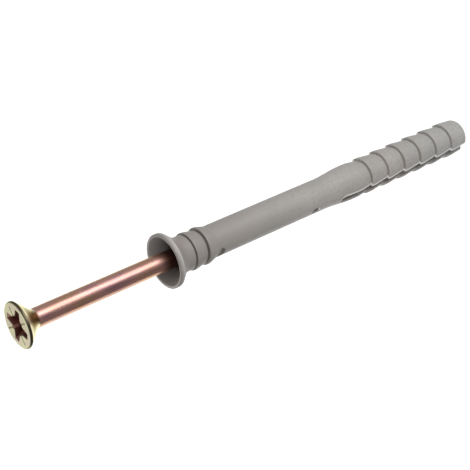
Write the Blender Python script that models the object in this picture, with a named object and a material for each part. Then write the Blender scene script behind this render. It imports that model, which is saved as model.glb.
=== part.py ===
"""Nylon hammer fixing: a split, barbed sleeve with its drive nail standing part way in the bore.

Both pieces are turned about one axis and modelled on local +Z, with z = 0 at the sleeve's rim
and z growing towards its nose. An empty then lays that axis down along +X, so that the fixing
rests on its collar and its last barb, with the origin under the middle of its outline.
Units are metres.
"""

import math

import bmesh
import bpy

# Sides of every round form, a multiple of four, with one flat facing straight down, and the
# steps of every curved edge or outline
SIDES = 32
CURVE_STEPS = 6

# Drive nail, measured from the face of its head
SHANK_DIAMETER = 0.0040
THREAD_DIAMETER = 0.0046
THREAD_LENGTH = 0.0460
THREAD_RUN_OUT = 0.0006
NECK_DIAMETER = 0.0036
NECK_LENGTH = 0.0014
NECK_FILLET = 0.0018
SHOULDER_LENGTH = 0.0002
HEAD_DIAMETER = 0.0096
HEAD_LAND = 0.00065
HEAD_EDGE = 0.0003
HEAD_CONE_ANGLE = math.radians(45)
POINT_LENGTH = 0.0055
POINT_DIAMETER = 0.0008

# Cross recess in the nail's head, with a sighting tick between each two wings
RECESS_DIAMETER = 0.0070
RECESS_DEPTH = 0.0028
RECESS_FLOOR_DIAMETER = 0.0026
WING_WIDTH = 0.0019
WING_END_WIDTH = 0.0013
CORNER_RIB_DIAMETER = 0.0042
CORNER_RIB_WIDTH = 0.0007
RECESS_NARROWING = 0.35
RECESS_TURN = math.radians(8)
TICK_INNER_DIAMETER = 0.0034
TICK_OUTER_DIAMETER = 0.0080
TICK_WIDTH = 0.0006
TICK_DEPTH = 0.0003

# Sleeve: overall, bore and collar
SLEEVE_LENGTH = 0.0903
BODY_DIAMETER = 0.00714
BORE_CLEARANCE = 0.0001
NOSE_WALL = 0.0029
COLLAR_DIAMETER = 0.0120
COLLAR_RIM_WIDTH = 0.0005
COLLAR_RIM_LENGTH = 0.0010
COLLAR_EDGE = 0.0002
COLLAR_CONE_ANGLE = math.radians(42)
COLLAR_FILLET = 0.0025
NECK_OF_SLEEVE_DIAMETER = 0.0075

# Sleeve: the two grip ribs behind the collar
RIB_COUNT = 2
RIB_PITCH = 0.0034
RIB_DIAMETER = 0.00824
RIB_ROOT_DIAMETER = 0.00780
RIB_LAND = 0.0006
RIB_FADE = 0.0042
FIRST_RIB = 0.0056

# Sleeve: the swelling and the barbs of the expansion zone, placed from the nose
BARB_COUNT = 6
BARB_PITCH = 0.0054
BARB_DIAMETER = 0.0084
BARB_ROOT_DIAMETER = 0.0075
LAST_BARB_LENGTH = 0.0068
SWELL_LENGTH = 0.0130
SWELL_RISE = 0.0080
SWELL_DIAMETER = 0.0082
SWELL_TOP_LENGTH = 0.0020
CREST_LAND = 0.0012
CREST_EDGE = 0.00015
NOTCH_WIDTH = 0.00035
NOTCH_FLOOR_WIDTH = 0.00025
NOTCH_DEPTH = 0.00022
NOSE_DIAMETER = 0.0077
NOSE_ROUNDING = 0.0016

# Sleeve: the slot that parts the two legs, and the openings in line with it
SLOT_TURN = math.radians(-66.6)
SLOT_WIDTH = 0.0019
SLOT_LEAD = 0.0093
SLOT_START_LENGTH = 0.0017
STEADY_HOLE_LENGTH = 0.0022
STEADY_HOLE_WIDTH = 0.0013
STEADY_HOLE_GAP = 0.0075
GATE_LENGTH = 0.0020
GATE_WIDTH = 0.0027
GATE_DEPTH = 0.00055
GATE_BEHIND_RIB = 0.0036

# How the nail stands in the sleeve, as supplied and when driven home
NAIL_SHOWING = 0.0345
SEAT_CLEARANCE = 0.00005
TIP_CLEARANCE = 0.0004

# What follows from the sizes above
HEAD_RADIUS = HEAD_DIAMETER / 2
COLLAR_RADIUS = COLLAR_DIAMETER / 2
BODY_RADIUS = BODY_DIAMETER / 2
BORE_RADIUS = THREAD_DIAMETER / 2 + BORE_CLEARANCE
MOUTH_RADIUS = COLLAR_RADIUS - COLLAR_RIM_WIDTH
SEAT_DEPTH = (MOUTH_RADIUS - BORE_RADIUS) / math.tan(HEAD_CONE_ANGLE)
SEAT_AT_HEAD = (MOUTH_RADIUS - HEAD_RADIUS) / math.tan(HEAD_CONE_ANGLE)
DRIVEN_FACE = SEAT_AT_HEAD - HEAD_LAND - SEAT_CLEARANCE
BORE_DEPTH = SLEEVE_LENGTH - NOSE_WALL
NAIL_LENGTH = BORE_DEPTH - TIP_CLEARANCE - DRIVEN_FACE
LAST_STEP = SLEEVE_LENGTH - LAST_BARB_LENGTH
FIRST_STEP = LAST_STEP - (BARB_COUNT - 1) * BARB_PITCH
LAST_RIB = FIRST_RIB + (RIB_COUNT - 1) * RIB_PITCH
SLOT_START = FIRST_STEP - SLOT_LEAD

NYLON_GREY = (0.36, 0.35, 0.335, 1.0)
PASSIVATED_ZINC = (0.62, 0.40, 0.27, 1.0)


def clear_scene():
    for item in list(bpy.data.objects):
        bpy.data.objects.remove(item, do_unlink=True)


def material(name, colour, roughness, metallic):
    made = bpy.data.materials.new(name)
    made.use_nodes = True
    shader = made.node_tree.nodes["Principled BSDF"]
    shader.inputs["Base Color"].default_value = colour
    shader.inputs["Roughness"].default_value = roughness
    shader.inputs["Metallic"].default_value = metallic
    return made


def arc(centre_z, centre_r, radius, start, end):
    """Points (z, r) on an arc. Angles are measured from +r towards +z."""
    points = []
    for step in range(CURVE_STEPS + 1):
        angle = start + (end - start) * step / CURVE_STEPS
        points.append((centre_z + radius * math.sin(angle), centre_r + radius * math.cos(angle)))
    return points


def object_from(name, bm, finish=None):
    """Turns a bmesh into an object whose faces point outwards and whose round sides shade smooth."""
    bmesh.ops.recalc_face_normals(bm, faces=bm.faces)
    mesh = bpy.data.meshes.new(name)
    bm.to_mesh(mesh)
    bm.free()
    mesh.shade_smooth()
    mesh.set_sharp_from_angle(angle=math.radians(30))
    made = bpy.data.objects.new(name, mesh)
    bpy.context.scene.collection.objects.link(made)
    if finish:
        mesh.materials.append(finish)
    return made


def turned(name, profile, finish):
    """Revolves a profile of (z, r) points that starts and ends on the axis."""
    bm = bmesh.new()
    rings = []
    for z, r in profile[1:-1]:
        ring = []
        for side in range(SIDES):
            angle = 2 * math.pi * (side + 0.5) / SIDES
            ring.append(bm.verts.new((r * math.cos(angle), r * math.sin(angle), z)))
        rings.append(ring)
    for near, far in zip(rings, rings[1:]):
        for side in range(SIDES):
            after = (side + 1) % SIDES
            bm.faces.new((near[side], near[after], far[after], far[side]))
    for (z, _), ring in ((profile[0], rings[0]), (profile[-1], rings[-1])):
        centre = bm.verts.new((0, 0, z))
        for side in range(SIDES):
            bm.faces.new((ring[side], ring[(side + 1) % SIDES], centre))
    return object_from(name, bm, finish)


def loft(name, sections):
    """Joins closed outlines of equal length, each a list of (x, y, z), and caps both ends."""
    bm = bmesh.new()
    rings = [[bm.verts.new(point) for point in section] for section in sections]
    for near, far in zip(rings, rings[1:]):
        for index in range(len(near)):
            after = (index + 1) % len(near)
            bm.faces.new((near[index], near[after], far[after], far[index]))
    bm.faces.new(rings[0])
    bm.faces.new(rings[-1])
    return object_from(name, bm)


def cut(target, cutter, turn=0.0):
    """Takes the cutter out of the target. The cutter turns with the target about its axis."""
    cutter.parent = target
    cutter.rotation_euler.z = turn
    cutter.hide_render = True
    cutter.display_type = "WIRE"
    boolean = target.modifiers.new(cutter.name, "BOOLEAN")
    boolean.operation = "DIFFERENCE"
    boolean.solver = "EXACT"
    boolean.object = cutter


def swelling():
    """The body's smooth rise to the first barb, and its fall to the barb's notch."""
    start = FIRST_STEP - SWELL_LENGTH
    rise = SWELL_DIAMETER / 2 - BODY_RADIUS
    points = []
    for step in range(CURVE_STEPS + 1):
        share = step / CURVE_STEPS
        eased = share * share * (3 - 2 * share)
        points.append((start + share * SWELL_RISE, BODY_RADIUS + eased * rise))
    points.append((start + SWELL_RISE + SWELL_TOP_LENGTH, SWELL_DIAMETER / 2))
    return points


def tooth(step, root_radius, crest_radius, land):
    """A notch, the wall that faces the collar, and the crest that meets the hole's wall."""
    floor = root_radius - NOTCH_DEPTH
    return [
        (step - NOTCH_WIDTH, root_radius),
        (step - NOTCH_FLOOR_WIDTH, floor),
        (step, floor),
        (step, crest_radius - CREST_EDGE),
        (step + CREST_EDGE, crest_radius),
        (step + land, crest_radius),
    ]


def bore_and_seat():
    """From the bore's blind end, shaped to the nail's point, out to the head's countersunk seat."""
    tip_radius = POINT_DIAMETER / 2 + BORE_CLEARANCE
    return [
        (BORE_DEPTH, 0),
        (BORE_DEPTH, tip_radius),
        (BORE_DEPTH - POINT_LENGTH, BORE_RADIUS),
        (SEAT_DEPTH, BORE_RADIUS),
        (0, MOUTH_RADIUS),
    ]


def collar():
    """The rim's edge and side, then the cone that a fillet runs into the sleeve's neck."""
    neck = NECK_OF_SLEEVE_DIAMETER / 2
    fillet_start = neck + COLLAR_FILLET * (1 - math.cos(COLLAR_CONE_ANGLE))
    cone_length = (COLLAR_RADIUS - fillet_start) / math.tan(COLLAR_CONE_ANGLE)
    fillet_end = COLLAR_RIM_LENGTH + cone_length + COLLAR_FILLET * math.sin(COLLAR_CONE_ANGLE)
    points = [
        (0, COLLAR_RADIUS - COLLAR_EDGE),
        (COLLAR_EDGE, COLLAR_RADIUS),
        (COLLAR_RIM_LENGTH - COLLAR_EDGE, COLLAR_RADIUS),
        (COLLAR_RIM_LENGTH + COLLAR_EDGE, COLLAR_RADIUS - COLLAR_EDGE),
    ]
    start = math.pi + COLLAR_CONE_ANGLE
    return points + arc(fillet_end, neck + COLLAR_FILLET, COLLAR_FILLET, start, math.pi)


def nose():
    """The last barb's fall to the rounded nose, which ends flat."""
    radius = NOSE_DIAMETER / 2
    centre_z = SLEEVE_LENGTH - NOSE_ROUNDING
    rounding = arc(centre_z, radius - NOSE_ROUNDING, NOSE_ROUNDING, 0, math.pi / 2)
    return rounding + [(SLEEVE_LENGTH, 0)]


def sleeve_profile():
    profile = bore_and_seat() + collar()
    for rib in range(RIB_COUNT):
        root = (RIB_ROOT_DIAMETER if rib else NECK_OF_SLEEVE_DIAMETER) / 2
        profile += tooth(FIRST_RIB + rib * RIB_PITCH, root, RIB_DIAMETER / 2, RIB_LAND)
    profile.append((LAST_RIB + RIB_FADE, BODY_RADIUS))
    profile += swelling()
    for barb in range(BARB_COUNT):
        step = FIRST_STEP + barb * BARB_PITCH
        profile += tooth(step, BARB_ROOT_DIAMETER / 2, BARB_DIAMETER / 2, CREST_LAND)
    return profile + nose()


def pill(length, width):
    """A closed outline of (z, y) points centred on zero, with half-round ends."""
    radius = width / 2
    reach = length / 2 - radius
    points = []
    for end in (1, -1):
        for step in range(CURVE_STEPS + 1):
            angle = math.pi * step / CURVE_STEPS
            points.append((end * (reach + radius * math.sin(angle)), end * radius * math.cos(angle)))
    return points


def slot_outline():
    """The slot seen square on: a rounded start, then straight sides that run out past the nose."""
    half = SLOT_WIDTH / 2
    beyond = SLEEVE_LENGTH + SLOT_WIDTH
    points = [(beyond, half)]
    for step in range(CURVE_STEPS + 1):
        angle = math.pi * step / CURVE_STEPS
        along = SLOT_START + SLOT_START_LENGTH * (1 - math.sin(angle))
        points.append((along, half * math.cos(angle)))
    return points + [(beyond, -half)]


def radial_cutter(name, outline, centre_z, inner, outer):
    """A prism whose (z, y) outline is pushed along local +X from the inner to the outer distance."""
    return loft(name, [[(x, y, centre_z + z) for z, y in outline] for x in (inner, outer)])


def make_sleeve(finish):
    sleeve = turned("nylon_sleeve", sleeve_profile(), finish)
    outside = COLLAR_RADIUS
    slot = radial_cutter("slot_cutter", slot_outline(), 0, -outside, outside)
    cut(sleeve, slot, SLOT_TURN)
    steady = pill(STEADY_HOLE_LENGTH, STEADY_HOLE_WIDTH)
    steady_z = SLOT_START - STEADY_HOLE_GAP
    holes = radial_cutter("steady_hole_cutter", steady, steady_z, -outside, outside)
    cut(sleeve, holes, SLOT_TURN)
    gate_z = LAST_RIB + GATE_BEHIND_RIB
    gate_floor = BODY_RADIUS - GATE_DEPTH
    half_length = GATE_LENGTH / 2
    half_width = GATE_WIDTH / 2
    gate_outline = [
        (-half_length, -half_width),
        (half_length - half_width / 2, -half_width),
        (half_length, -half_width / 2),
        (half_length, half_width / 2),
        (half_length - half_width / 2, half_width),
        (-half_length, half_width),
    ]
    gate = radial_cutter("gate_pocket_cutter", gate_outline, gate_z, gate_floor, outside)
    cut(sleeve, gate, SLOT_TURN)
    return sleeve


def nail_profile():
    neck = NECK_DIAMETER / 2
    shank = SHANK_DIAMETER / 2
    thread = THREAD_DIAMETER / 2
    cone_end = HEAD_LAND + (HEAD_RADIUS - neck) / math.tan(HEAD_CONE_ANGLE)
    neck_end = cone_end + NECK_LENGTH
    thread_start = NAIL_LENGTH - THREAD_LENGTH
    edge = arc(HEAD_EDGE, HEAD_RADIUS - HEAD_EDGE, HEAD_EDGE, -math.pi / 2, 0)
    fillet_end = cone_end + NECK_FILLET * math.tan(HEAD_CONE_ANGLE / 2)
    cone_side = math.pi + HEAD_CONE_ANGLE
    fillet = arc(fillet_end, neck + NECK_FILLET, NECK_FILLET, cone_side, math.pi)
    return [(0, 0)] + edge + [(HEAD_LAND, HEAD_RADIUS)] + fillet + [
        (neck_end, neck),
        (neck_end + SHOULDER_LENGTH, shank),
        (thread_start, shank),
        (thread_start + THREAD_RUN_OUT, thread),
        (NAIL_LENGTH - POINT_LENGTH, thread),
        (NAIL_LENGTH, POINT_DIAMETER / 2),
        (NAIL_LENGTH, 0),
    ]


def recess_outline(wing_radius, end_width, root_width, rib_radius, rib_width, z):
    """A cross of four tapered wings with a small rib in each corner between them."""
    points = []
    for quarter in range(4):
        wing = quarter * math.pi / 2
        rib = wing + math.pi / 4
        corner = root_width / math.sqrt(2)
        inset = rib_width / 2
        wing_local = [
            (wing_radius, -end_width / 2),
            (wing_radius, end_width / 2),
            (corner + inset, root_width / 2),
        ]
        rib_local = [(rib_radius, -inset), (rib_radius, inset)]
        for (along, across), angle in [(point, wing) for point in wing_local] + [
            (point, rib) for point in rib_local
        ]:
            x = along * math.cos(angle) - across * math.sin(angle)
            y = along * math.sin(angle) + across * math.cos(angle)
            points.append((x, y, z))
        after = wing + math.pi / 2
        x = (corner + inset) * math.cos(after) + root_width / 2 * math.sin(after)
        y = (corner + inset) * math.sin(after) - root_width / 2 * math.cos(after)
        points.append((x, y, z))
    return points


def recess_cutter():
    """The recess from above the face down to its floor, every wall leaning in."""
    slope = (RECESS_DIAMETER - RECESS_FLOOR_DIAMETER) / 2 / RECESS_DEPTH
    above = RECESS_DEPTH / 4
    sections = []
    for depth in (-above, RECESS_DEPTH):
        lean = slope * depth
        narrow = 1 - RECESS_NARROWING * depth / RECESS_DEPTH
        sections.append(
            recess_outline(
                RECESS_DIAMETER / 2 - lean,
                WING_END_WIDTH * narrow,
                WING_WIDTH * narrow,
                (CORNER_RIB_DIAMETER / 2) * narrow,
                CORNER_RIB_WIDTH * narrow,
                depth,
            )
        )
    return loft("recess_cutter", sections)


def tick_cutter():
    """Four shallow V grooves on the face, one between each two wings."""
    bm = bmesh.new()
    for quarter in range(4):
        angle = quarter * math.pi / 2 + math.pi / 4
        ends = []
        for reach in (TICK_INNER_DIAMETER / 2, TICK_OUTER_DIAMETER / 2):
            end = []
            for across, z in ((-TICK_WIDTH, -TICK_DEPTH), (TICK_WIDTH, -TICK_DEPTH), (0, TICK_DEPTH)):
                x = reach * math.cos(angle) - across * math.sin(angle)
                y = reach * math.sin(angle) + across * math.cos(angle)
                end.append(bm.verts.new((x, y, z)))
            ends.append(end)
        near, far = ends
        bm.faces.new(near)
        bm.faces.new(far)
        for index in range(3):
            after = (index + 1) % 3
            bm.faces.new((near[index], near[after], far[after], far[index]))
    return object_from("tick_cutter", bm)


def make_nail(finish):
    nail = turned("drive_nail", nail_profile(), finish)
    cut(nail, recess_cutter(), RECESS_TURN)
    cut(nail, tick_cutter(), RECESS_TURN)
    nail.location.z = -NAIL_SHOWING
    return nail


def lay_down(pieces):
    """Parents the pieces to an empty that lays their axis along +X, at rest on the floor z = 0.

    The sleeve touches the floor under its collar's rim and under the end of its last crest, so
    the axis falls a little towards the nose.
    """
    flat = math.cos(math.pi / SIDES)
    rim_z = COLLAR_RIM_LENGTH - COLLAR_EDGE
    crest_z = LAST_STEP + CREST_LAND
    drop = (COLLAR_RADIUS - BARB_DIAMETER / 2) * flat
    tilt = math.atan2(drop, crest_z - rim_z)
    height = COLLAR_RADIUS * flat * math.cos(tilt) + rim_z * math.sin(tilt)
    tail_end = -NAIL_SHOWING * math.cos(tilt) - (HEAD_RADIUS - HEAD_EDGE) * flat * math.sin(tilt)
    nose_radius = (NOSE_DIAMETER / 2 - NOSE_ROUNDING) * flat
    nose_end = SLEEVE_LENGTH * math.cos(tilt) + nose_radius * math.sin(tilt)
    axis = bpy.data.objects.new("fixing_axis", None)
    bpy.context.scene.collection.objects.link(axis)
    axis.rotation_euler = (0, math.pi / 2 + tilt, 0)
    axis.location = (-(tail_end + nose_end) / 2, 0, height)
    for piece in pieces:
        piece.parent = axis


def main():
    clear_scene()
    nylon = material("grey_nylon", NYLON_GREY, 0.5, 0.0)
    zinc = material("yellow_passivated_steel", PASSIVATED_ZINC, 0.25, 1.0)
    lay_down([make_sleeve(nylon), make_nail(zinc)])


main()
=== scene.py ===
"""A nylon hammer fixing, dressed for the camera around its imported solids.

Every mesh is first made about local +Z, which points to the nose, with z = 0 at the sleeve's rim or
at the face of the nail's head. It is then laid down along +X, as the fixing rests on a table, and
rides on the body of the solid that it stands for. Sizes are in metres.
"""

import math

import bmesh
import bpy
from mathutils import Matrix, Vector


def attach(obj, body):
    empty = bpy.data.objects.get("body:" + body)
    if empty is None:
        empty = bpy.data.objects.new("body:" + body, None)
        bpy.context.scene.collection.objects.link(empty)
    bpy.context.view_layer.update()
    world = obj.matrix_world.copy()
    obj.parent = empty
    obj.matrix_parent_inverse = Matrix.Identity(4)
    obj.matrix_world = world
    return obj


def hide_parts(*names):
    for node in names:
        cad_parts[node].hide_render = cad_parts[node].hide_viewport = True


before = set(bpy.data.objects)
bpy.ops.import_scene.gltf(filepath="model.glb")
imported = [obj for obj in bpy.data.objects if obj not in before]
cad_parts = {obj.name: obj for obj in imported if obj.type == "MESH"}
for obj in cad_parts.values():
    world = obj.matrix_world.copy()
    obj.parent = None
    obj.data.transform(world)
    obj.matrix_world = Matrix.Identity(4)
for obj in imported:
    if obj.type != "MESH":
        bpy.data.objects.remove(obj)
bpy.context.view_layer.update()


# The sleeve's outline
# The sleeve is one moulding in grey nylon. Its outline starts with a funnel collar for the nail's
# head, then come two grip ribs and a plain tube, and the tube swells into six barbs and a blunt
# nose. Every edge has the small rounding that a mould leaves.

SLEEVE_LENGTH = 0.0903
BODY_RADIUS = 0.00357
BORE_RADIUS = 0.00240
BORE_DEPTH = 0.0874
BORE_TIP_RADIUS = 0.0005
BORE_TIP_LENGTH = 0.0042

COLLAR_RADIUS = 0.0060
COLLAR_RIM_WIDTH = 0.0005
COLLAR_RIM_LENGTH = 0.0010
COLLAR_CONE_ANGLE = math.radians(42)
COLLAR_CONE_RINGS = (1 / 9, 1 / 3)
COLLAR_FILLET = 0.0025
RIM_ROUNDING = 0.00020
MOUTH_RADIUS = COLLAR_RADIUS - COLLAR_RIM_WIDTH
MOUTH_ROUNDING = RIM_ROUNDING / 3
SEAT_ANGLE = math.radians(45)
SEAT_DEPTH = (MOUTH_RADIUS - BORE_RADIUS) / math.tan(SEAT_ANGLE)
SEAT_FILLET = 0.0004

NECK_RADIUS = 0.00388
RIB_STEPS = (0.0058, 0.0091)
RIB_RADIUS = 0.00416
RIB_ROOT_RADIUS = 0.00370
RIB_LAND = 0.0006
RIB_FADE = 0.0026
RIB_FADE_FILLET = 0.0020

BARB_COUNT = 6
BARB_PITCH = 0.0054
FIRST_STEP = 0.0565
LAST_STEP = FIRST_STEP + (BARB_COUNT - 1) * BARB_PITCH
BARB_RADIUS = 0.0042
BARB_ROOT_RADIUS = 0.00375
BARB_LAND = 0.0012
BARB_LAND_FILLET = 0.0060
NOTCH_WIDTH = 0.00035
NOTCH_FLOOR_WIDTH = 0.00025
NOTCH_DEPTH = 0.00022
RIB_NOTCH_DEPTH = 0.00026
NOTCH_ROUNDING = 0.00004
STEP_DRAFT = 0.00003
STEP_ROUNDING = 0.00010

SWELL_START = 0.0435
SWELL_RISE = 0.0080
SWELL_TOP_LENGTH = 0.0020
SWELL_RADIUS = 0.0041
SWELL_RINGS = 14

NOSE_RADIUS = 0.00385
NOSE_ROUNDING = 0.0016

FILLET_RINGS = 4


def filleted(corners):
    """Rounds the corners (along, across, radius) of an open outline and returns its points."""
    points = []
    for index, (along, across, radius) in enumerate(corners):
        corner = Vector((along, across))
        if radius == 0:
            points.append((along, across))
            continue
        back = (Vector(corners[index - 1][:2]) - corner).normalized()
        ahead = (Vector(corners[index + 1][:2]) - corner).normalized()
        half_angle = back.angle(ahead) / 2
        reach = radius / math.tan(half_angle)
        centre = corner + (back + ahead).normalized() * radius / math.sin(half_angle)
        first = corner + back * reach - centre
        last = corner + ahead * reach - centre
        for ring in range(FILLET_RINGS + 1):
            spoke = first.lerp(last, ring / FILLET_RINGS).normalized() * radius
            points.append(tuple(centre + spoke))
    return points


def notched_step(z, root_radius, crest_radius, depth=NOTCH_DEPTH):
    """The notch, the wall that faces the collar, and the edge of the crest, for a step at z."""
    floor = root_radius - depth
    return [
        (z - NOTCH_WIDTH, root_radius, NOTCH_ROUNDING),
        (z - NOTCH_FLOOR_WIDTH, floor, NOTCH_ROUNDING),
        (z, floor, NOTCH_ROUNDING),
        (z + STEP_DRAFT, crest_radius, STEP_ROUNDING),
        (z + 3 * STEP_ROUNDING, crest_radius, 0),
    ]


def collar_and_funnel(z_inside):
    """From a place inside the bore, out round the collar's rim, and down to the neck."""
    cone_length = (COLLAR_RADIUS - NECK_RADIUS) / math.tan(COLLAR_CONE_ANGLE)
    corners = [
        (z_inside, BORE_RADIUS, 0),
        (SEAT_DEPTH * 2, BORE_RADIUS, 0),
        (SEAT_DEPTH, BORE_RADIUS, SEAT_FILLET),
        (SEAT_DEPTH / 2, (MOUTH_RADIUS + BORE_RADIUS) / 2, 0),
        (RIM_ROUNDING, MOUTH_RADIUS - RIM_ROUNDING * math.tan(SEAT_ANGLE), 0),
        (0, MOUTH_RADIUS, MOUTH_ROUNDING),
        (0, COLLAR_RADIUS, RIM_ROUNDING),
        (COLLAR_RIM_LENGTH, COLLAR_RADIUS, RIM_ROUNDING),
    ]
    for share in COLLAR_CONE_RINGS:
        radius = COLLAR_RADIUS + share * (NECK_RADIUS - COLLAR_RADIUS)
        corners.append((COLLAR_RIM_LENGTH + share * cone_length, radius, 0))
    corners.append((COLLAR_RIM_LENGTH + cone_length, NECK_RADIUS, COLLAR_FILLET))
    return corners


def body_outline():
    """The outside from the first rib to the first barb's notch, as corners."""
    corners = notched_step(RIB_STEPS[0], NECK_RADIUS, RIB_RADIUS, RIB_NOTCH_DEPTH)
    corners.append((RIB_STEPS[0] + RIB_LAND, RIB_RADIUS, 0))
    corners += notched_step(RIB_STEPS[1], RIB_ROOT_RADIUS, RIB_RADIUS, RIB_NOTCH_DEPTH)
    corners.append((RIB_STEPS[1] + RIB_LAND, RIB_RADIUS, 0))
    corners.append((RIB_STEPS[1] + RIB_FADE, BODY_RADIUS, RIB_FADE_FILLET))
    for ring in range(SWELL_RINGS + 1):
        share = ring / SWELL_RINGS
        eased = share * share * (3 - 2 * share)
        z = SWELL_START + share * SWELL_RISE
        corners.append((z, BODY_RADIUS + eased * (SWELL_RADIUS - BODY_RADIUS), 0))
    corners.append((SWELL_START + SWELL_RISE + SWELL_TOP_LENGTH, SWELL_RADIUS, BARB_LAND_FILLET))
    corners.append((FIRST_STEP - NOTCH_WIDTH, BARB_ROOT_RADIUS, 0))
    return filleted(corners)


def barb_outline(z, last=False):
    """One barb, from its notch to the next barb's notch, or to the nose's flat end."""
    start = (z - NOTCH_WIDTH, BARB_ROOT_RADIUS, 0)
    corners = [start] + notched_step(z, BARB_ROOT_RADIUS, BARB_RADIUS)[1:]
    corners.append((z + BARB_LAND, BARB_RADIUS, BARB_LAND_FILLET))
    if last:
        corners.append((SLEEVE_LENGTH - NOSE_ROUNDING, NOSE_RADIUS, NOSE_ROUNDING / 2))
        corners.append((SLEEVE_LENGTH, NOSE_RADIUS - NOSE_ROUNDING, 0))
    else:
        corners.append((z + BARB_PITCH - NOTCH_WIDTH, BARB_ROOT_RADIUS, 0))
    return filleted(corners)


# The sleeve's finish
# The nylon is coloured right through and left as moulded: satin, with the fine grain of the mould's
# eroded walls, which shows most on the barbs. A painted highlight lightens its edges, on the collar
# and along the upper leg, and painted shade darkens the funnel and the notches before the ribs.

NYLON_SHADE = (0.350, 0.336, 0.316, 1)
NYLON_TINT = (0.398, 0.374, 0.352, 1)
NYLON_FRONT = (0.275, 0.248, 0.225, 1)
NYLON_MOTTLE = (0.290, 0.287, 0.275, 1)
NYLON_TIP = (0.405, 0.397, 0.383, 1)
NYLON_PAINTED_HIGHLIGHT = (0.90, 0.89, 0.87, 1)
FUNNEL_SHADOW = (0.045, 0.040, 0.038, 1)
NYLON_ROUGHNESS = (0.46, 0.58)
NYLON_IOR = 1.53
NYLON_GLOW = 0.06
NYLON_GLOW_DEPTH = 0.0005
CLOUD_SIZE = 0.011
CLOUD_DETAIL = 3
CLOUD_RANGE = (0.35, 0.65)
MOTTLE_SIZE = 0.0006
MOTTLE_DETAIL = 2
MOTTLE_RANGE = (0.5, 0.66)
MOTTLE_SHARE = 0.50
GRAIN_SIZE = 0.00034
GRAIN_DETAIL = 2
GRAIN_RANGE = (0.3, 0.7)
GRAIN_HEIGHT = 0.000120
GRAIN_STRENGTH = (0.15, 0.90)
# Where, along X, the front's darker grey gives way to the plain one, the plain one to the tip's,
# and the tube's finer grain to the barbs' coarser one.
FRONT_X = (-0.026, 0.012)
TIP_X = (0.040, 0.060)
BARBS_X = (0.022, 0.030)
# The places of a mix node's sockets for two colours and for their mix.
COLOUR_A, COLOUR_B, COLOUR_MIX = 6, 7, 2


def noise_of(tree, coordinates, size, detail):
    """A noise texture whose features are about as large as size."""
    noise = tree.nodes.new("ShaderNodeTexNoise")
    noise.inputs["Scale"].default_value = 1 / size
    noise.inputs["Detail"].default_value = detail
    tree.links.new(coordinates, noise.inputs["Vector"])
    return noise.outputs["Fac"]


def spread(tree, value, given, wanted=(0, 1)):
    """Maps a value's given range onto the wanted one, and stops at its ends."""
    scaled = tree.nodes.new("ShaderNodeMapRange")
    for name, number in zip(("From Min", "From Max", "To Min", "To Max"), (*given, *wanted)):
        scaled.inputs[name].default_value = number
    tree.links.new(value, scaled.inputs["Value"])
    return scaled.outputs["Result"]


def mixed(tree, share, first, second):
    """Mixes two colours, each a socket or four numbers, by a share."""
    mix = tree.nodes.new("ShaderNodeMix")
    mix.data_type = "RGBA"
    tree.links.new(share, mix.inputs["Factor"])
    for socket, colour in ((mix.inputs[COLOUR_A], first), (mix.inputs[COLOUR_B], second)):
        if isinstance(colour, tuple):
            socket.default_value = colour
        else:
            tree.links.new(colour, socket)
    return mix.outputs[COLOUR_MIX]


def attribute(tree, name):
    """A number that the mesh carries at each of its points."""
    carried = tree.nodes.new("ShaderNodeAttribute")
    carried.attribute_name = name
    return carried.outputs["Fac"]


def bumped(tree, height, depth, strength, under=None):
    """A normal from a height, over another normal, where the strength is a socket or a number."""
    bump = tree.nodes.new("ShaderNodeBump")
    bump.inputs["Distance"].default_value = depth
    tree.links.new(height, bump.inputs["Height"])
    if isinstance(strength, float):
        bump.inputs["Strength"].default_value = strength
    else:
        tree.links.new(strength, bump.inputs["Strength"])
    if under:
        tree.links.new(under, bump.inputs["Normal"])
    return bump.outputs["Normal"]


def grey_nylon():
    made = bpy.data.materials.new("grey nylon")
    made.use_nodes = True
    tree = made.node_tree
    shader = tree.nodes["Principled BSDF"]
    shader.inputs["IOR"].default_value = NYLON_IOR
    shader.inputs["Subsurface Weight"].default_value = NYLON_GLOW
    shader.inputs["Subsurface Scale"].default_value = NYLON_GLOW_DEPTH
    place = tree.nodes.new("ShaderNodeTexCoord").outputs["Object"]
    along = tree.nodes.new("ShaderNodeSeparateXYZ")
    tree.links.new(place, along.inputs["Vector"])
    x = along.outputs["X"]
    cloud = spread(tree, noise_of(tree, place, CLOUD_SIZE, CLOUD_DETAIL), CLOUD_RANGE)
    plain = mixed(tree, cloud, NYLON_SHADE, NYLON_TINT)
    graded = mixed(tree, spread(tree, x, FRONT_X), NYLON_FRONT, plain)
    graded = mixed(tree, spread(tree, x, TIP_X), graded, NYLON_TIP)
    mottle = noise_of(tree, place, MOTTLE_SIZE, MOTTLE_DETAIL)
    mottle = spread(tree, mottle, MOTTLE_RANGE, (0, MOTTLE_SHARE))
    mottled = mixed(tree, mottle, graded, NYLON_MOTTLE)
    # A painted highlight: near-white laid on the edges where they catch the light.
    outside = mixed(tree, attribute(tree, "painted_edge_highlight"), mottled, NYLON_PAINTED_HIGHLIGHT)
    # Painted shade: near black in the funnel and in the notches before the ribs.
    colour = mixed(tree, attribute(tree, "painted_funnel_and_notch_shade"), outside, FUNNEL_SHADOW)
    tree.links.new(colour, shader.inputs["Base Color"])
    grain = noise_of(tree, place, GRAIN_SIZE, GRAIN_DETAIL)
    tree.links.new(spread(tree, grain, GRAIN_RANGE, NYLON_ROUGHNESS), shader.inputs["Roughness"])
    strength = spread(tree, x, BARBS_X, GRAIN_STRENGTH)
    tree.links.new(bumped(tree, grain, GRAIN_HEIGHT, strength), shader.inputs["Normal"])
    return made


nylon = grey_nylon()


# The sleeve's legs
# A slot right through the middle parts the expansion zone into two legs, so that the nail can push
# them against the wall of the hole. The slot's lips are rounded, and each leg carries the faint
# raised line where the two halves of the mould meet.

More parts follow.
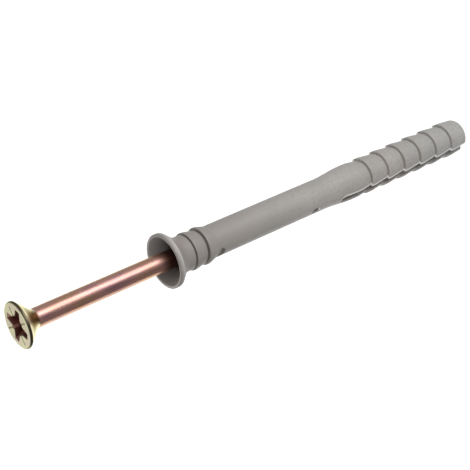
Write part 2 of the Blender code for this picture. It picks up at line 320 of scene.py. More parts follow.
SLOT_START = 0.0472
SLOT_HALF_WIDTH = 0.00095
SLOT_START_LENGTH = 0.0017
SLOT_START_RINGS = 9
LIP_ROUNDING = 0.00030
LIP_SHARE = 0.8
LIP_STEPS = 5
WALL_STEPS = 4
LEAST_BORE_HALF_WIDTH = 0.0003
ARC_STEPS = 44
PARTING_RIDGE = 0.00002
PARTING_HALF_WIDTH = 0.00010
WELD_DISTANCE = 1e-6

ridge_share = PARTING_HALF_WIDTH / (math.pi * BODY_RADIUS)
arc_shares = [step / ARC_STEPS for step in range(ARC_STEPS + 1)]
arc_shares = sorted(arc_shares + [0.5 - ridge_share, 0.5 + ridge_share])


def slot_half_width(z):
    """Half the slot's width at z: an elliptic start, and then straight sides."""
    short_of_full = max(0.0, SLOT_START + SLOT_START_LENGTH - z) / SLOT_START_LENGTH
    return SLOT_HALF_WIDTH * math.sqrt(max(0.0, 1 - short_of_full**2))


def bore_radius(z):
    """The bore follows the nail's point down to a small blind end."""
    short_of_end = min(1.0, max(0.0, BORE_DEPTH - z) / BORE_TIP_LENGTH)
    return BORE_TIP_RADIUS + short_of_end * (BORE_RADIUS - BORE_TIP_RADIUS)


def leg_section(z, radius):
    """The closed outline of one leg, as points (x, y) with the slot's wall along y = half."""
    half = slot_half_width(z)
    lip = min(LIP_ROUNDING, half * LIP_SHARE)
    lip_x = math.sqrt((radius - lip) ** 2 - (half + lip) ** 2)
    lip_end = math.atan2(half + lip, lip_x)
    bore = bore_radius(z)
    bore_x = max(math.sqrt(max(0.0, bore**2 - half**2)), LEAST_BORE_HALF_WIDTH)
    right = []
    for step in range(WALL_STEPS):
        right.append((bore_x + (lip_x - bore_x) * step / WALL_STEPS, half))
    for step in range(LIP_STEPS):
        angle = -math.pi / 2 + (lip_end + math.pi / 2) * step / LIP_STEPS
        right.append((lip_x + lip * math.cos(angle), half + lip + lip * math.sin(angle)))
    outside = []
    for share in arc_shares:
        angle = lip_end + share * (math.pi - 2 * lip_end)
        reach = radius + (PARTING_RIDGE if share == 0.5 else 0)
        outside.append((reach * math.cos(angle), reach * math.sin(angle)))
    left = [(-x, y) for x, y in reversed(right)]
    wide = max(bore, bore_x)
    bore_end = math.acos(bore_x / wide)
    inside = []
    for share in reversed(arc_shares[1:-1]):
        angle = bore_end + share * (math.pi - 2 * bore_end)
        y = max(half, wide * math.sin(angle)) if bore > half else half
        inside.append((wide * math.cos(angle), y))
    return right + outside + left + inside


def bridge(bm, rings):
    """Joins each closed ring of points to the next one with a band of faces."""
    for near, far in zip(rings, rings[1:]):
        for index in range(len(near)):
            after = (index + 1) % len(near)
            bm.faces.new((near[index], near[after], far[after], far[index]))


def legs(outline, capped=False):
    """Both legs as one mesh, lofted along the outline's points (z, radius)."""
    bm = bmesh.new()
    for side in (1, -1):
        rings = []
        for z, radius in outline:
            section = leg_section(z, radius)
            rings.append([bm.verts.new((side * x, side * y, z)) for x, y in section])
        bridge(bm, rings)
        if capped:
            bm.faces.new(rings[-1])
    return bm


def turned(outline, ridge_from=math.inf):
    """Revolves an outline (z, radius), with the mould's line on its points after ridge_from."""
    bm = bmesh.new()
    rings = []
    for index, (z, radius) in enumerate(outline):
        ring = []
        for turn in (0, math.pi):
            for share in arc_shares[:-1]:
                angle = turn + share * math.pi
                reach = radius + (PARTING_RIDGE if share == 0.5 and index > ridge_from else 0)
                ring.append(bm.verts.new((reach * math.cos(angle), reach * math.sin(angle), z)))
        rings.append(ring)
    bridge(bm, rings)
    return bm


def mesh_from(name, bm):
    """Turns a bmesh into a mesh with its doubles merged and its faces pointing outwards."""
    bmesh.ops.remove_doubles(bm, verts=bm.verts, dist=WELD_DISTANCE)
    bmesh.ops.dissolve_degenerate(bm, edges=bm.edges, dist=WELD_DISTANCE)
    bmesh.ops.recalc_face_normals(bm, faces=bm.faces)
    mesh = bpy.data.meshes.new(name)
    bm.to_mesh(mesh)
    bm.free()
    return mesh


def shown_object(name, data):
    """An object for a mesh, a lamp or a camera, put into the scene."""
    made = bpy.data.objects.new(name, data)
    bpy.context.scene.collection.objects.link(made)
    return made


def plain_mesh(made):
    """The object's mesh as its modifiers leave it, with the modifiers themselves removed."""
    bpy.context.view_layer.update()
    graph = bpy.context.evaluated_depsgraph_get()
    mesh = bpy.data.meshes.new_from_object(made.evaluated_get(graph))
    made.modifiers.clear()
    return mesh


def numbers_on(mesh, *names):
    """Adds a number of each name to every point of a mesh, and gives the layers to fill."""
    for name in names:
        mesh.attributes.new(name, "FLOAT", "POINT")
    return [mesh.attributes[name].data for name in names]


def finished(piece, place, material, sharp_angle):
    """Lays a piece down in its material, and smooths it between its sharp edges."""
    piece.data.transform(place)
    piece.data.materials.clear()
    piece.data.materials.append(material)
    piece.data.shade_smooth()
    piece.data.set_sharp_from_angle(angle=sharp_angle)


body = body_outline()


def body_radius(z):
    """The outside radius at z, between two points of the body's outline."""
    near, far = next(pair for pair in zip(body, body[1:]) if pair[1][0] > z)
    return near[1] + (far[1] - near[1]) * (z - near[0]) / (far[0] - near[0])


slot_rings = []
for ring in range(SLOT_START_RINGS + 1):
    eased = 1 - math.cos(math.pi / 2 * ring / SLOT_START_RINGS)
    z = SLOT_START + SLOT_START_LENGTH * eased
    slot_rings.append((z, body_radius(z)))
legs_outline = sorted(slot_rings + [point for point in body if point[0] > SLOT_START])

first_notch = (RIB_STEPS[0] - NOTCH_WIDTH, NECK_RADIUS, 0)
front_outline = filleted(collar_and_funnel(SLOT_START) + [first_notch])
outside_from = max(range(len(front_outline)), key=lambda index: front_outline[index][1])
front_outline += [point for point in body[1:] if point[0] < SLOT_START]
front_outline.append((SLOT_START, body_radius(SLOT_START)))


# The barbs
# Five of the six barbs are alike: a square step towards the collar, so that the fixing can't be
# pulled out again, and a slope towards the nose, so that it goes in. One is made on both legs, and
# the tree below repeats it along them. The sixth runs on into the nose.


def repeat_along_axis():
    """A tree that copies its mesh along +Z, welds the copies and gives them their material."""
    tree = bpy.data.node_groups.new("barbs along the legs", "GeometryNodeTree")
    sockets = tree.interface
    sockets.new_socket("One barb", in_out="INPUT", socket_type="NodeSocketGeometry")
    inputs = {
        "count": sockets.new_socket("Barbs", in_out="INPUT", socket_type="NodeSocketInt"),
        "pitch": sockets.new_socket("Pitch", in_out="INPUT", socket_type="NodeSocketFloat"),
        "nylon": sockets.new_socket("Nylon", in_out="INPUT", socket_type="NodeSocketMaterial"),
    }
    sockets.new_socket("Row of barbs", in_out="OUTPUT", socket_type="NodeSocketGeometry")
    given = tree.nodes.new("NodeGroupInput")
    offset = tree.nodes.new("ShaderNodeCombineXYZ")
    places = tree.nodes.new("GeometryNodeMeshLine")
    copies = tree.nodes.new("GeometryNodeInstanceOnPoints")
    real = tree.nodes.new("GeometryNodeRealizeInstances")
    weld = tree.nodes.new("GeometryNodeMergeByDistance")
    finish = tree.nodes.new("GeometryNodeSetMaterial")
    result = tree.nodes.new("NodeGroupOutput")
    weld.inputs["Distance"].default_value = WELD_DISTANCE
    link = tree.links.new
    link(given.outputs["Pitch"], offset.inputs["Z"])
    link(given.outputs["Barbs"], places.inputs["Count"])
    link(offset.outputs["Vector"], places.inputs["Offset"])
    link(places.outputs["Mesh"], copies.inputs["Points"])
    link(given.outputs["One barb"], copies.inputs["Instance"])
    link(copies.outputs["Instances"], real.inputs["Geometry"])
    link(real.outputs["Geometry"], weld.inputs["Geometry"])
    link(weld.outputs["Geometry"], finish.inputs["Geometry"])
    link(given.outputs["Nylon"], finish.inputs["Material"])
    link(finish.outputs["Geometry"], result.inputs["Row of barbs"])
    return tree, inputs


barb = shown_object("one barb", mesh_from("one barb", legs(barb_outline(FIRST_STEP))))
tree, inputs = repeat_along_axis()
repeat = barb.modifiers.new("repeat", "NODES")
repeat.node_group = tree
repeat[inputs["count"].identifier] = BARB_COUNT - 1
repeat[inputs["pitch"].identifier] = BARB_PITCH
repeat[inputs["nylon"].identifier] = nylon
row_of_barbs = plain_mesh(barb)
bpy.data.objects.remove(barb, do_unlink=True)


# The sleeve, put together
# The collar and tube, the row of barbs and the nose are welded into one skin. The gate's pocket,
# where the nylon was fed in, is sunk into the tube, and a hole crosses it where a pin held the
# mould's core. Both lie nearly in line with the slot.

HOLE_LENGTH = 0.0020
HOLE_HALF_WIDTH = 0.00065
HOLE_Z = SLOT_START - 0.0075
HOLE_LIP = 0.00020
HOLE_STEPS = 12
# How the hole's mouth opens out: pairs of a depth and a widening, both in shares of HOLE_LIP.
HOLE_FLARE = ((0, 1), (0.4, 0.5), (1, 0), (1.6, 0))
GATE_LENGTH = 0.0020
GATE_HALF_WIDTH = 0.00135
GATE_DEPTH = 0.00030
GATE_END_DEPTH = 0.00075
GATE_Z = RIB_STEPS[1] + 0.0035

# The slot is turned by this about the axis, and the hole and the gate by a little more.
SLOT_TURN = math.radians(-62.6)
HOLE_TURN = math.radians(-5)

# How strong the painted highlight on the edges is, and how dark the painted shade in the funnel
# and the notches. The slot's painted highlight fades in from its wall and out again, at places in
# shares of LIP_ROUNDING.
LIP_PAINTED_HIGHLIGHT = 1.0
LIP_FADE_IN = 4
LIP_END = 2.5
HOLE_HIGHLIGHT_FROM = HOLE_LIP * 0.2
HOLE_HIGHLIGHT_TO = HOLE_LIP * 1.3
OUTSIDE_OF_BORE = 0.0031
RIM_PAINTED_HIGHLIGHT = 0.30
RIM_HIGHLIGHT_REACH = RIM_ROUNDING * 0.9
RIB_NOTCH_SHADOW = 0.60
FUNNEL_SHADOW_SHARE = 0.95
FUNNEL_SHADOW_POWER = 0.3
FUNNEL_SLOPE = 0.9
FUNNEL_SLACK = 0.0001
SLEEVE_SHARP_ANGLE = math.radians(38)

# The solids' round forms have this many flat sides, and the circle inside is a little smaller.
SIDES_OF_SOLIDS = 32
ROUND_IN_FLATS = math.cos(math.pi / SIDES_OF_SOLIDS)

# The nail's place in the sleeve, which decides where the fixing's middle is.
HEAD_RADIUS = 0.0049
HEAD_FRONT_EDGE = 0.0004
NAIL_SHOWING = 0.0345


def loft(name, sections):
    """A closed solid through outlines of equal length, each a list of points (x, y, z)."""
    bm = bmesh.new()
    rings = [[bm.verts.new(point) for point in section] for section in sections]
    bridge(bm, rings)
    bm.faces.new(rings[0])
    bm.faces.new(rings[-1])
    return shown_object(name, mesh_from(name, bm))


def pill(length, half_width):
    """An outline (z, y) with half-round ends."""
    reach = length / 2 - half_width
    points = []
    for end in (1, -1):
        for step in range(HOLE_STEPS + 1):
            angle = math.pi * step / HOLE_STEPS
            along = end * (reach + half_width * math.sin(angle))
            points.append((along, end * half_width * math.cos(angle)))
    return points


def cut_away(target, cutters):
    """Takes the cutters out of the target's mesh, one after the other, and removes them."""
    for cutter in cutters:
        boolean = target.modifiers.new(cutter.name, "BOOLEAN")
        boolean.operation = "DIFFERENCE"
        boolean.solver = "EXACT"
        boolean.object = cutter
    target.data = plain_mesh(target)
    for cutter in cutters:
        bpy.data.objects.remove(cutter, do_unlink=True)


def hole_cutter():
    """A pill right through the tube, which flares where it meets the outside on either side."""
    sections = []
    flare = [(COLLAR_RADIUS, HOLE_LIP)]
    flare += [(BODY_RADIUS - HOLE_LIP * depth, HOLE_LIP * extra) for depth, extra in HOLE_FLARE]
    reaches = [(-x, extra) for x, extra in flare] + list(reversed(flare))
    for x, extra in reaches:
        outline = pill(HOLE_LENGTH + 2 * extra, HOLE_HALF_WIDTH + extra)
        sections.append([(x, y, HOLE_Z + along) for along, y in outline])
    return loft("steady hole", sections)


def gate_cutter():
    """The gate's pocket, deeper towards the nose, with its corners cut off at that end."""
    half = GATE_LENGTH / 2
    corner = GATE_HALF_WIDTH / 2
    outline = [
        (-half, -GATE_HALF_WIDTH),
        (half - corner, -GATE_HALF_WIDTH),
        (half, -corner),
        (half, corner),
        (half - corner, GATE_HALF_WIDTH),
        (-half, GATE_HALF_WIDTH),
    ]
    fall = (GATE_END_DEPTH - GATE_DEPTH) / GATE_LENGTH
    floor_x = BODY_RADIUS - GATE_DEPTH
    floor = [(floor_x - fall * (half + along), y, GATE_Z + along) for along, y in outline]
    mouth = [(COLLAR_RADIUS, y, GATE_Z + along) for along, y in outline]
    return loft("gate pocket", [floor, mouth])


def laid_down():
    """The matrix that lays local +Z along +X, at rest on the rim and the end of the last crest."""
    rim_z = COLLAR_RIM_LENGTH - RIM_ROUNDING
    crest_z = LAST_STEP + BARB_LAND
    drop = (COLLAR_RADIUS - BARB_RADIUS) * ROUND_IN_FLATS
    tilt = math.atan2(drop, crest_z - rim_z)
    height = COLLAR_RADIUS * ROUND_IN_FLATS * math.cos(tilt) + rim_z * math.sin(tilt)
    head_edge = (HEAD_RADIUS - HEAD_FRONT_EDGE) * ROUND_IN_FLATS
    tail_end = -NAIL_SHOWING * math.cos(tilt) - head_edge * math.sin(tilt)
    nose_edge = (NOSE_RADIUS - NOSE_ROUNDING) * ROUND_IN_FLATS
    nose_end = SLEEVE_LENGTH * math.cos(tilt) + nose_edge * math.sin(tilt)
    turn = Matrix.Rotation(math.pi / 2 + tilt, 4, "Y")
    return Matrix.Translation((-(tail_end + nose_end) / 2, 0, height)) @ turn


skin = bmesh.new()
skin.from_mesh(mesh_from("front", turned(front_outline, outside_from)))
skin.from_mesh(mesh_from("slotted tube", legs(legs_outline)))
skin.from_mesh(row_of_barbs)
skin.from_mesh(mesh_from("nose", legs(barb_outline(LAST_STEP, last=True), capped=True)))
sleeve = shown_object("sleeve", mesh_from("sleeve", skin))
cutters = [hole_cutter(), gate_cutter()]
for cutter in cutters:
    cutter.data.transform(Matrix.Rotation(HOLE_TURN, 4, "Z"))
cut_away(sleeve, cutters)

layers = numbers_on(sleeve.data, "painted_edge_highlight", "painted_funnel_and_notch_shade")
for point, painted_highlight, depth in zip(sleeve.data.vertices, *layers):
    x, y, z = point.co
    reach = math.hypot(x, y)
    # Painted highlight on the lit edges: the upper lips of the hole and the slot, and the rim.
    in_mouth = HOLE_HIGHLIGHT_FROM < BODY_RADIUS - reach < HOLE_HIGHLIGHT_TO
    if y < 0 and abs(z - HOLE_Z) < HOLE_LENGTH and in_mouth:
        painted_highlight.value = LIP_PAINTED_HIGHLIGHT
    if y < 0 and z > SLOT_START and reach > OUTSIDE_OF_BORE:
        from_wall = (abs(y) - slot_half_width(z)) / LIP_ROUNDING
        share = min(LIP_FADE_IN * from_wall, LIP_END - from_wall, 1.0)
        painted_highlight.value = LIP_PAINTED_HIGHLIGHT * max(0.0, share)
    from_mouth = abs(reach - MOUTH_RADIUS) + z
    from_rim = abs(reach - COLLAR_RADIUS) + abs(z - COLLAR_RIM_LENGTH)
    if min(from_mouth, from_rim) < RIM_HIGHLIGHT_REACH:
        painted_highlight.value = RIM_PAINTED_HIGHLIGHT
    # Painted shade in the notches before the ribs.
    for step, root_radius in zip(RIB_STEPS, (NECK_RADIUS, RIB_ROOT_RADIUS)):
        in_notch = step - NOTCH_WIDTH < z < step + STEP_DRAFT / 2
        if in_notch and OUTSIDE_OF_BORE < reach < root_radius - RIB_NOTCH_DEPTH / 2:
            depth.value = RIB_NOTCH_SHADOW
    # Painted shade in the funnel, deepening from the mouth towards the bore.
    if reach < MOUTH_RADIUS - z * FUNNEL_SLOPE + FUNNEL_SLACK:
        share = min(1.0, max(0.0, z / SEAT_DEPTH))
        depth.value = share**FUNNEL_SHADOW_POWER * FUNNEL_SHADOW_SHARE

upright = laid_down()
inside_flats = Matrix.Diagonal((ROUND_IN_FLATS, ROUND_IN_FLATS, 1, 1))
place = upright @ Matrix.Rotation(SLOT_TURN, 4, "Z") @ inside_flats
finished(sleeve, place, nylon, SLEEVE_SHARP_ANGLE)
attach(sleeve, "sleeve")
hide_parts("nylon_sleeve")


# The nail's finish
# The nail is drawn steel wire, zinc plated and then dipped in a yellow passivate. That dries to a
# film with the colours of oil on water: straw on the head's flat, gold in the neck, and copper and
# violet along the shank. A painted dark reflection lies in brown on one side of the neck, and
# painted shade darkens the shank inside the sleeve.

STRAW = (0.49, 0.465, 0.335, 1)
BLUSH = (0.48, 0.405, 0.345, 1)
OLIVE = (0.13, 0.11, 0.065, 1)
GOLD = (0.92, 0.82, 0.62, 1)
GRAZING_TINT = (0.92, 0.98, 0.66, 1)
FILM_COAT = 0.10
FILM_COAT_ROUGHNESS = 0.22
NECK_REFLECTION_BROWN = (0.20, 0.10, 0.04, 1)
COPPER = (0.64, 0.345, 0.275, 1)
ROSE = (0.65, 0.37, 0.32, 1)
VIOLET = (0.52, 0.28, 0.30, 1)
BRONZE = (0.58, 0.38, 0.22, 1)
RECESS_MAROON = (0.26, 0.125, 0.105, 1)
SHADED_COPPER = (0.16, 0.055, 0.035, 1)
STEEL_ROUGHNESS = (0.28, 0.42)
WIRE_MARK_LENGTH = 0.006
WIRE_MARK_WIDTH = 0.00022
WIRE_MARK_HEIGHT = 0.000010
WIRE_MARK_STRENGTH = 0.30
WIRE_MARK_DETAIL = 3
WIRE_MARK_RANGE = (0.3, 0.7)
FILM_LENGTH = 0.009
FILM_WIDTH = 0.0022
FILM_DETAIL = 3
FILM_COLOURS = ((0.34, BRONZE), (0.44, COPPER), (0.56, ROSE), (0.68, VIOLET))
FACE_PATCH_SIZE = 0.003
FACE_PATCH_DETAIL = 1
FACE_PATCH_RANGE = (0.42, 0.58)
PIT_SIZE = 0.00016
PIT_DETAIL = 2
PIT_HEIGHT = 0.000008
PIT_STRENGTH = 0.25
# The plating's zones: 0 on the head's flat, and then these on its edge, its cone and the shank.
EDGE_ZONE = 0.4
CONE_ZONE = 0.6
SHANK_ZONE = 1.0
EDGE_AND_CONE_COLOURS = ((0.42, OLIVE), (0.55, GOLD))
FLAT_TO_EDGE = (0.1, 0.25)
CONE_TO_SHANK = (0.8, 1.0)


def stretched(tree, place, length, width, tilt):
    """Coordinates in which a feature of size 1 is so long along the nail, and so wide across it."""
    mapping = tree.nodes.new("ShaderNodeMapping")
    mapping.vector_type = "POINT"
    mapping.inputs["Rotation"].default_value = (0, -tilt, 0)
    mapping.inputs["Scale"].default_value = (1 / length, 1 / width, 1 / width)
    tree.links.new(place, mapping.inputs["Vector"])
    return mapping.outputs["Vector"]


def ramp(tree, value, stops):
    """Colours along a value, from pairs (place, colour)."""
    colours = tree.nodes.new("ShaderNodeValToRGB")
    elements = colours.color_ramp.elements
    for index, (place, colour) in enumerate(stops):
        element = elements[index] if index < 2 else elements.new(place)
        element.position = place
        element.color = colour
    tree.links.new(value, colours.inputs["Fac"])
    return colours.outputs["Color"]


def yellow_passivated_steel(tilt):
    made = bpy.data.materials.new("yellow passivated steel")
    made.use_nodes = True
    tree = made.node_tree
    shader = tree.nodes["Principled BSDF"]
    shader.inputs["Metallic"].default_value = 1
    shader.inputs["Specular Tint"].default_value = GRAZING_TINT
    shader.inputs["Coat Weight"].default_value = FILM_COAT
    shader.inputs["Coat Roughness"].default_value = FILM_COAT_ROUGHNESS
    place = tree.nodes.new("ShaderNodeTexCoord").outputs["Object"]
    film = noise_of(tree, stretched(tree, place, FILM_LENGTH, FILM_WIDTH, tilt), 1, FILM_DETAIL)
    shank = ramp(tree, film, FILM_COLOURS)
    zone = attribute(tree, "plating")
    patches = noise_of(tree, place, FACE_PATCH_SIZE, FACE_PATCH_DETAIL)
    face = mixed(tree, spread(tree, patches, FACE_PATCH_RANGE), STRAW, BLUSH)
    edge_and_cone = ramp(tree, zone, EDGE_AND_CONE_COLOURS)
    # Painted dark reflection: brown laid on one side of the neck and its cone.
    with_neck_reflection = mixed(tree, attribute(tree, "painted_neck_reflection"), edge_and_cone, NECK_REFLECTION_BROWN)
    head = mixed(tree, spread(tree, zone, FLAT_TO_EDGE), face, with_neck_reflection)
    shaded = mixed(tree, attribute(tree, "funnel_shade"), shank, SHADED_COPPER)
    outside = mixed(tree, spread(tree, zone, CONE_TO_SHANK), head, shaded)
    colour = mixed(tree, attribute(tree, "recess_depth"), outside, RECESS_MAROON)
    tree.links.new(colour, shader.inputs["Base Color"])
    drawn = stretched(tree, place, WIRE_MARK_LENGTH, WIRE_MARK_WIDTH, tilt)
    marks = noise_of(tree, drawn, 1, WIRE_MARK_DETAIL)
    roughness = spread(tree, marks, WIRE_MARK_RANGE, STEEL_ROUGHNESS)
    tree.links.new(roughness, shader.inputs["Roughness"])
    pits = noise_of(tree, place, PIT_SIZE, PIT_DETAIL)
    pitted = bumped(tree, pits, PIT_HEIGHT, PIT_STRENGTH)
    marked = bumped(tree, marks, WIRE_MARK_HEIGHT, WIRE_MARK_STRENGTH, pitted)
    tree.links.new(marked, shader.inputs["Normal"])
    return made


tilt = upright.to_euler().y - math.pi / 2
steel = yellow_passivated_steel(tilt)


# The drive nail
# The wire is upset into a head that is countersunk to the collar's funnel, with a cross recess
# stamped into its flat face and a short sighting line between each two wings. Under the head it is
# a little thinner, and it ends in a rolled point.

NAIL_LENGTH = 0.0870
HEAD_LAND = 0.00055
HEAD_REAR_EDGE = 0.00012
HEAD_CONE_ANGLE = math.radians(45)
HEAD_CONE_RINGS = (0.1, 0.2, 0.3, 0.5, 0.7)
FACE_RINGS = (0.0012, 0.0024, 0.0036, 0.0040)
NECK_OF_NAIL_RADIUS = 0.0020
NECK_OF_NAIL_END_RADIUS = 0.00188
NECK_OF_NAIL_LENGTH = 0.00050
NECK_OF_NAIL_FILLET = 0.0006
CONE_END = HEAD_LAND + (HEAD_RADIUS - NECK_OF_NAIL_RADIUS) / math.tan(HEAD_CONE_ANGLE)
SHANK_START = CONE_END + NECK_OF_NAIL_LENGTH
SHANK_RADIUS = 0.0020
SHOULDER_LENGTH = 0.0002
SHOULDER_ROUNDING = 0.0001
SHOULDER_RING = 0.0010
THREAD_START = 0.0410
THREAD_ROOT_RADIUS = 0.00192
THREAD_STEP_LENGTH = 0.0003
THREAD_STEP_ROUNDING = 0.0002
POINT_LENGTH = 0.0055
POINT_FILLET = 0.0020
POINT_RADIUS = 0.0004
POINT_ROUNDING = 0.0002
NAIL_SIDES = 96
NAIL_SHARP_ANGLE = math.radians(32)

RECESS_RADIUS = 0.00365
RECESS_FLOOR_RADIUS = 0.0013
RECESS_DEPTH = 0.0028
RECESS_NARROWING = 0.35
RECESS_RINGS = (0.07, 0.35, 0.7, 1)
RECESS_LIP = 0.00010
RECESS_LIP_STEPS = 3
WING_HALF_WIDTH = 0.00095
WING_END_HALF_WIDTH = 0.00065
CORNER_RIB_RADIUS = 0.0021
CORNER_RIB_HALF_WIDTH = 0.00035
RECESS_TURN = math.radians(8)
TICK_INNER_RADIUS = 0.0017
TICK_OUTER_RADIUS = 0.0040
TICK_HALF_WIDTH = 0.00030
TICK_DEPTH = 0.00009

# What picks out the points in the recess and on the head's edge, the painted dark reflection on one
# side of the neck, and the part of the shank that takes painted shade where it lies in the funnel.
JUST_PAST = 1.01
RECESS_WALL_SLOPE = 0.5
EDGE_ZONE_RISE = 4
NECK_REFLECTION_TURN = math.radians(-131)
NECK_REFLECTION_EDGE = 0.70
NECK_REFLECTION_CORE = 0.93
NECK_REFLECTION_RADIUS = 0.0045
NECK_REFLECTION_FADE = 0.0006
SHADE_START = 0.0332
SHADE_END = 0.0350
SHADE_SHARE = 0.90


def turned_solid(name, outline, sides):
    """Revolves an outline (z, radius) that starts and ends on the axis."""
    bm = bmesh.new()
    rings = []
    angles = [2 * math.pi * side / sides for side in range(sides)]
    for z, radius in outline[1:-1]:
        circle = [(radius * math.cos(angle), radius * math.sin(angle), z) for angle in angles]
        rings.append([bm.verts.new(point) for point in circle])
    bridge(bm, rings)
    for (z, _), ring in ((outline[0], rings[0]), (outline[-1], rings[-1])):
        centre = bm.verts.new((0, 0, z))
        for side in range(sides):
            bm.faces.new((ring[side], ring[(side + 1) % sides], centre))
    return shown_object(name, mesh_from(name, bm))


def nail_outline():
    """The nail's outline, from the middle of its face to the middle of its point."""
    corners = [(0, 0, 0)]
    corners += [(0, radius, 0) for radius in FACE_RINGS]
    corners += [(0, HEAD_RADIUS, HEAD_FRONT_EDGE), (HEAD_LAND, HEAD_RADIUS, HEAD_REAR_EDGE)]
    for share in HEAD_CONE_RINGS:
        radius = HEAD_RADIUS + share * (NECK_OF_NAIL_RADIUS - HEAD_RADIUS)
        corners.append((HEAD_LAND + share * (CONE_END - HEAD_LAND), radius, 0))
    corners += [
        (CONE_END, NECK_OF_NAIL_RADIUS, NECK_OF_NAIL_FILLET),
        (SHANK_START, NECK_OF_NAIL_END_RADIUS, SHOULDER_ROUNDING),
        (SHANK_START + SHOULDER_LENGTH, SHANK_RADIUS, SHOULDER_ROUNDING),
        (SHANK_START + SHOULDER_RING, SHANK_RADIUS, 0),
        (SHADE_START, SHANK_RADIUS, 0),
        (SHADE_END, SHANK_RADIUS, 0),
        (THREAD_START - THREAD_STEP_LENGTH, SHANK_RADIUS, THREAD_STEP_ROUNDING),
        (THREAD_START, THREAD_ROOT_RADIUS, THREAD_STEP_ROUNDING),
        (NAIL_LENGTH - POINT_LENGTH, THREAD_ROOT_RADIUS, POINT_FILLET),
        (NAIL_LENGTH, POINT_RADIUS, POINT_ROUNDING),
        (NAIL_LENGTH, 0, 0),
    ]
    return filleted(corners)


def recess_outline(wing_radius, end_half, root_half, rib_radius, rib_half, z):
    """A cross of four tapered wings, with a small rib in each corner between them."""
    points = []
    corner = (root_half * math.sqrt(2) + rib_half, root_half)
    for quarter in range(4):
        wing = quarter * math.pi / 2
        chain = [
            (wing_radius, -end_half, wing),
            (wing_radius, end_half, wing),
            (corner[0], corner[1], wing),
            (rib_radius, -rib_half, wing + math.pi / 4),
            (rib_radius, rib_half, wing + math.pi / 4),
            (corner[0], -corner[1], wing + math.pi / 2),
        ]
        for along, across, angle in chain:
            x = along * math.cos(angle) - across * math.sin(angle)
            y = along * math.sin(angle) + across * math.cos(angle)
            points.append((x, y, z))
    return points


def recess_cutter():
    """The recess with a rounded lip at the face, and then walls that lean in to its floor."""
    slope = (RECESS_RADIUS - RECESS_FLOOR_RADIUS) / RECESS_DEPTH
    places = [(-RECESS_LIP, RECESS_LIP), (0, RECESS_LIP)]
    for step in range(1, RECESS_LIP_STEPS + 1):
        rounded = math.sin(math.pi / 2 * step / RECESS_LIP_STEPS)
        places.append((RECESS_LIP * rounded, RECESS_LIP * (1 - rounded)))
    places += [(RECESS_DEPTH * share, 0) for share in RECESS_RINGS]
    sections = []
    for depth, extra in places:
        narrow = 1 - RECESS_NARROWING * max(0, depth) / RECESS_DEPTH
        sections.append(
            recess_outline(
                RECESS_RADIUS - slope * max(0, depth) + extra,
                WING_END_HALF_WIDTH * narrow + extra,
                WING_HALF_WIDTH * narrow + extra,
                CORNER_RIB_RADIUS * narrow + extra,
                CORNER_RIB_HALF_WIDTH * narrow + extra,
                depth,
            )
        )
    cutter = loft("recess", sections)
    cutter.data.transform(Matrix.Rotation(RECESS_TURN, 4, "Z"))
    return cutter


def tick_cutters():
    """Four shallow grooves, one between each two wings."""
    cutters = []
    top = 2 * TICK_HALF_WIDTH
    vee = ((-top, -TICK_DEPTH), (top, -TICK_DEPTH), (0, TICK_DEPTH))
    ends = (TICK_INNER_RADIUS, TICK_OUTER_RADIUS)
    for quarter in range(4):
        tick = loft("tick", [[(reach, y, z) for y, z in vee] for reach in ends])
        tick.data.transform(Matrix.Rotation(RECESS_TURN + (quarter + 0.5) * math.pi / 2, 4, "Z"))
        cutters.append(tick)
    return cutters


nail = turned_solid("nail", nail_outline(), NAIL_SIDES)
cut_away(nail, [recess_cutter()] + tick_cutters())

layers = numbers_on(nail.data, "plating", "recess_depth", "painted_neck_reflection", "funnel_shade")
for point, zone, depth, neck_reflection, shaded in zip(nail.data.vertices, *layers):
    x, y, z = point.co
    reach = math.hypot(x, y)
    below_ticks = TICK_DEPTH * JUST_PAST < z < RECESS_DEPTH * JUST_PAST
    if below_ticks and reach < RECESS_RADIUS + RECESS_LIP - z * RECESS_WALL_SLOPE:
        depth.value = 1.0
    # A painted dark reflection on one side of the neck.
    if HEAD_LAND < z < SHANK_START:
        facing = (x * math.cos(NECK_REFLECTION_TURN) + y * math.sin(NECK_REFLECTION_TURN)) / reach
        around = min(1.0, max(0.0, (facing - NECK_REFLECTION_EDGE) / (NECK_REFLECTION_CORE - NECK_REFLECTION_EDGE)))
        neck_reflection.value = around * min(1.0, max(0.0, (NECK_REFLECTION_RADIUS - reach) / NECK_REFLECTION_FADE))
    if z < HEAD_LAND:
        zone.value = EDGE_ZONE * min(1.0, z / HEAD_FRONT_EDGE * EDGE_ZONE_RISE)
    elif z < SHANK_START:
        zone.value = CONE_ZONE
    else:
        zone.value = SHANK_ZONE
    if z > NAIL_SHOWING:
        shaded.value = SHADE_SHARE


# The drive nail's thread
# A fine thread is rolled onto the wire, so that the nail goes in under the hammer and can be backed
# out with a driver. The tree below winds one ridge round the shank. Open fault: it winds it
# left-handed, and with its section turned half round. So the crest lies inside the shank, the steep
# flank faces the nose, and only the foot stands 0.1 mm proud.

THREAD_END = 0.0809
THREAD_PITCH = 0.0011
THREAD_SUNK = 0.00010
THREAD_HEIGHT = 0.00036
THREAD_STEEP_FOOT = -0.00022
THREAD_CREST = (-0.00010, 0.00002)
THREAD_SLOPE_FOOT = 0.00044
THREAD_RUN_OUT_SHARE = 0.02
THREAD_STEPS = 40


